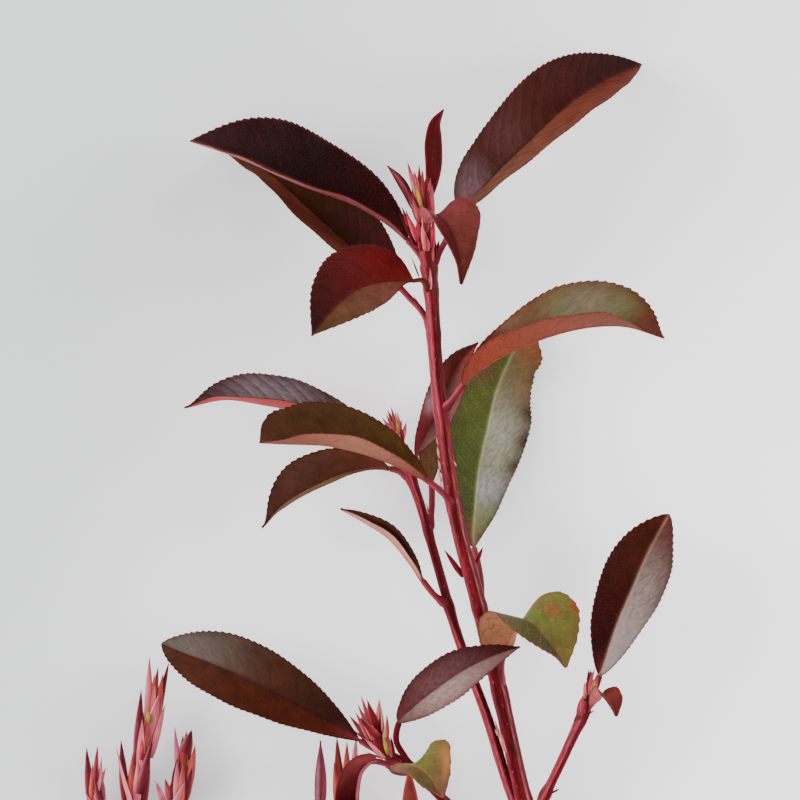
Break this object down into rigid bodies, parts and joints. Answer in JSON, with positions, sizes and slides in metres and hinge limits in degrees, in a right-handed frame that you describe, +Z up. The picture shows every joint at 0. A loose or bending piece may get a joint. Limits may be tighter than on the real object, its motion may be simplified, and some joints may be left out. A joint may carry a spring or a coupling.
{
  "type": "cut red photinia branch",
  "caption": "Cut leafy branch of a red photinia with dark bronze leaves, red stems, pointed buds and young shoots, lying down.",
  "frame": {"origin": "on the surface the branch lies on, under the middle of its bounding box", "axes": "+Y up the branch from its cut end towards its top bud, +Z up, +X to the right"},
  "size_m": [0.2094, 0.366, 0.0823],
  "materials": {
    "bark": "smooth dark red bark",
    "leaf": "glossy dark bronze leaf",
    "green_leaf": "glossy olive green leaf",
    "bract": "matt pink and red bud scales and young leaves"
  },
  "bodies": {
    "root": {"bud_left": "bract", "bud_right": "bract", "bud_second": "bract", "bud_side": "bract", "bud_top": "bract", "leaf_arched": "leaf", "leaf_behind_stem": "leaf", "leaf_brown_behind": "leaf", "leaf_folded_green": "green_leaf", "leaf_green_behind": "green_leaf", "leaf_left_far": "leaf", "leaf_left_front": "leaf", "leaf_left_low": "leaf", "leaf_low_green": "green_leaf", "leaf_low_left": "leaf", "leaf_low_middle": "leaf", "leaf_low_narrow": "leaf", "leaf_low_orange": "leaf", "leaf_low_red": "leaf", "leaf_right_small": "leaf", "leaf_right_tall": "leaf", "leaf_thin_left": "leaf", "leaf_top_front": "leaf", "leaf_top_left": "leaf", "leaf_top_left_under": "leaf", "leaf_top_right": "leaf", "leaf_top_small": "leaf", "left_twig": "bark", "low_bough": "bark", "main_stem": "bark", "right_twig": "bark", "second_stem": "bark", "shoot_far_left": "bract", "shoot_left_short": "bract", "shoot_left_tall": "bract", "shoot_low_pink": "bract"}
  },
  "joints": []
}
